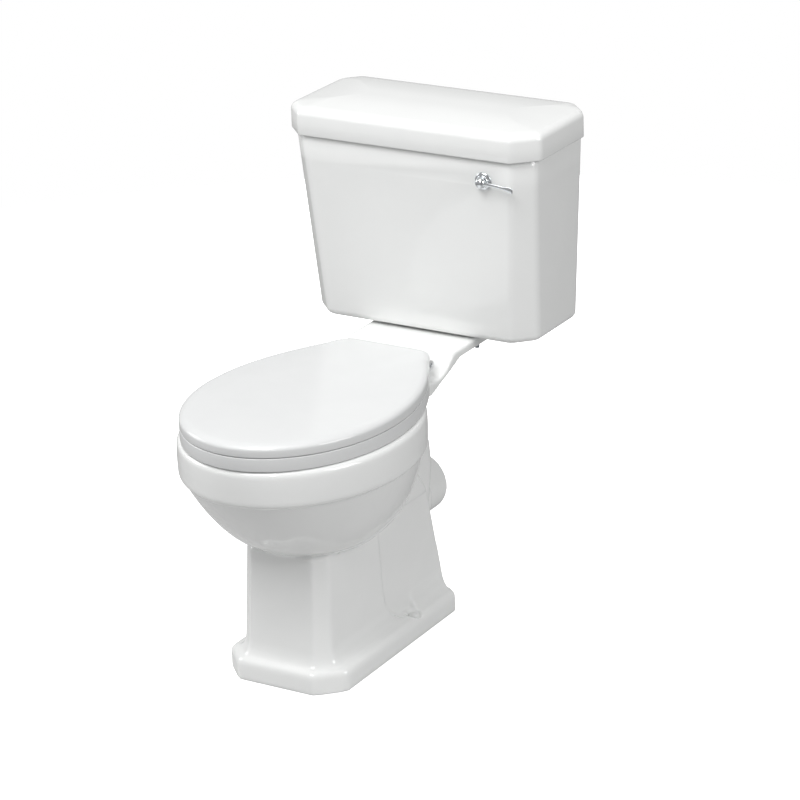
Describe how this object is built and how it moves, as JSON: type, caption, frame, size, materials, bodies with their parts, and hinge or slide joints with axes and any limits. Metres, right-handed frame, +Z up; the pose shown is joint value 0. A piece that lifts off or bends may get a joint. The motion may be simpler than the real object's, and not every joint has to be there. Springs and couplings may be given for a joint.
{
  "type": "close coupled toilet",
  "caption": "Close coupled toilet: pedestal pan with octagonal foot, cut-corner cistern with side lever, hinged seat and lid, siphon and float valve inside.",
  "frame": {"origin": "on the floor, midway between the wall plane and the front of the rim, on the plane of symmetry", "axes": "+Z up, -Y to the front where the user stands, +X to the right when facing the front, the side the lever is on"},
  "size_m": [0.4594, 0.751, 0.797],
  "materials": {
    "china": "gloss",
    "seat": "gloss",
    "chrome": "polished",
    "zinc": "satin",
    "brass": "satin",
    "white_plastic": "satin",
    "blue_plastic": "satin",
    "black_rubber": "matte",
    "clear_rubber": "matte"
  },
  "bodies": {
    "pan_and_cistern": {"pan": "china", "cistern": "china", "lever_escutcheon": "chrome", "lever_washer": "black_rubber", "lever_locknut": "zinc", "siphon_body": "white_plastic", "siphon_washer": "black_rubber", "siphon_backnut": "white_plastic", "fill_valve": "white_plastic", "fill_valve_washer": "black_rubber", "fill_valve_backnut": "white_plastic", "coupling_plate": "zinc", "coupling_seal": "black_rubber", "floor_screw_right": "zinc", "screw_cap_right": "white_plastic", "coupling_bolt_right": "zinc", "coupling_washer_right": "black_rubber", "coupling_wing_nut_right": "zinc", "hinge_post_right": "chrome", "hinge_pin_right": "chrome", "hinge_bolt_right": "zinc", "hinge_washer_right": "black_rubber", "hinge_wing_nut_right": "white_plastic", "floor_screw_left": "zinc", "screw_cap_left": "white_plastic", "coupling_bolt_left": "zinc", "coupling_washer_left": "black_rubber", "coupling_wing_nut_left": "zinc", "hinge_post_left": "chrome", "hinge_pin_left": "chrome", "hinge_bolt_left": "zinc", "hinge_washer_left": "black_rubber", "hinge_wing_nut_left": "white_plastic"},
    "cistern_lid": {"cistern_lid": "china"},
    "seat_ring": {"seat_ring": "seat", "ring_buffer_front_right": "clear_rubber", "ring_buffer_front_left": "clear_rubber", "ring_buffer_rear_right": "clear_rubber", "ring_buffer_rear_left": "clear_rubber"},
    "seat_lid": {"seat_lid": "seat", "lid_buffer_front_right": "clear_rubber", "lid_buffer_front_left": "clear_rubber", "lid_buffer_rear_right": "clear_rubber", "lid_buffer_rear_left": "clear_rubber"},
    "flush_lever": {"lever_handle": "chrome", "lever_spindle": "brass", "lever_arm": "zinc"},
    "siphon_lift": {"siphon_piston": "blue_plastic", "lift_rod": "zinc"},
    "float": {"float_arm": "white_plastic", "float": "blue_plastic"}
  },
  "joints": [
    {"name": "ring_hinge", "type": "hinge", "parent": "pan_and_cistern", "child": "seat_ring", "pos_m": [0, 0.0935, 0.424], "axis": [-1, 0, 0], "range_deg": [0, 96]},
    {"name": "lid_hinge", "type": "hinge", "parent": "seat_ring", "child": "seat_lid", "pos_m": [0, 0.0935, 0.424], "axis": [1, 0, 0], "range_deg": [-96, 0]},
    {"name": "flush_lever_turn", "type": "hinge", "parent": "pan_and_cistern", "child": "flush_lever", "pos_m": [0.1405, 0.17735, 0.711], "axis": [0, 0.9975, 0.0706], "range_deg": [0, 24]},
    {"name": "siphon_lift_slide", "type": "slide", "parent": "pan_and_cistern", "child": "siphon_lift", "axis": [0, 0, 1], "range_m": [0, 0.041]},
    {"name": "float_hinge", "type": "hinge", "parent": "pan_and_cistern", "child": "float", "pos_m": [-0.128, 0.2955, 0.656], "axis": [0, -1, 0], "range_deg": [0, 30]},
    {"name": "cistern_lid_lift", "type": "slide", "parent": "pan_and_cistern", "child": "cistern_lid", "axis": [0, 0, 1], "range_m": [0, 0.1]}
  ],
  "couplings": [
    {"joint": "siphon_lift_slide", "follows": "flush_lever_turn", "m_per_rad": 0.096}
  ]
}
